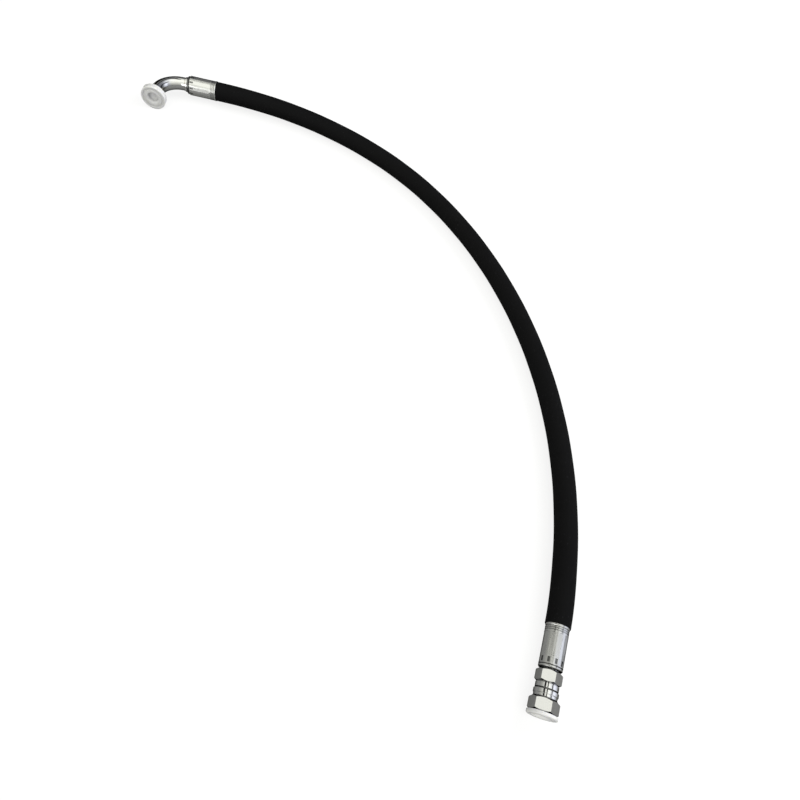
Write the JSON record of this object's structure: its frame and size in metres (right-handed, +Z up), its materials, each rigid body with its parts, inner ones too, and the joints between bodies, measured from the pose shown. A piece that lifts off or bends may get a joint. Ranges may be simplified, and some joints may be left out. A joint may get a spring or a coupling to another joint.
{
  "type": "hydraulic hose assembly",
  "caption": "Black spiral-wire hydraulic hose lying in a wide arc, with crimped ferrules, a straight swivel nut at one end and a right-angle flange elbow at the other, both ends capped.",
  "frame": {"origin": "on the floor, below the middle of the box round the two end fittings", "axes": "+Z up from the floor that the hose lies on, +X towards the swivel end, +Y towards the elbow end"},
  "size_m": [0.9276, 0.8632, 0.0426],
  "materials": {
    "cover_rubber": "matte",
    "inner_rubber": "matte",
    "spiral_wire": "brass-coated wire",
    "ferrule_steel": "satin zinc plate",
    "nipple_steel": "bright zinc plate",
    "nut_steel": "bright zinc plate",
    "elbow_steel": "polished plate",
    "braze_metal": "satin",
    "seal_rubber": "satin",
    "white_plastic": "translucent polyethylene"
  },
  "bodies": {
    "root": {"hose_cover": "cover_rubber", "hose_spiral_ply_4": "spiral_wire", "hose_cushion_3": "inner_rubber", "hose_spiral_ply_3": "spiral_wire", "hose_cushion_2": "inner_rubber", "hose_spiral_ply_2": "spiral_wire", "hose_cushion_1": "inner_rubber", "hose_spiral_ply_1": "spiral_wire", "hose_inner_tube": "inner_rubber", "straight_nipple": "nipple_steel", "straight_ferrule": "ferrule_steel", "elbow_nipple": "nipple_steel", "elbow_ferrule": "ferrule_steel", "elbow_tube": "elbow_steel", "nipple_braze_ring": "braze_metal", "flange_head": "elbow_steel", "head_braze_ring": "braze_metal", "flange_oring": "seal_rubber"},
    "swivel": {"swivel_nut": "nut_steel"},
    "plug": {"nut_plug": "white_plastic"},
    "cap": {"flange_cap": "white_plastic"}
  },
  "joints": [
    {"name": "swivel_spin", "type": "hinge", "parent": "root", "child": "swivel", "pos_m": [0.4443, -0.40297, 0.01855], "axis": [-0.0262, -0.9997, 0], "continuous": true},
    {"name": "nut_plug_pull", "type": "slide", "parent": "swivel", "child": "plug", "axis": [-0.0262, -0.9997, 0], "range_m": [0, 0.06]},
    {"name": "flange_cap_pull", "type": "slide", "parent": "root", "child": "cap", "axis": [0.2079, -0.9781, 0], "range_m": [0, 0.06]}
  ]
}
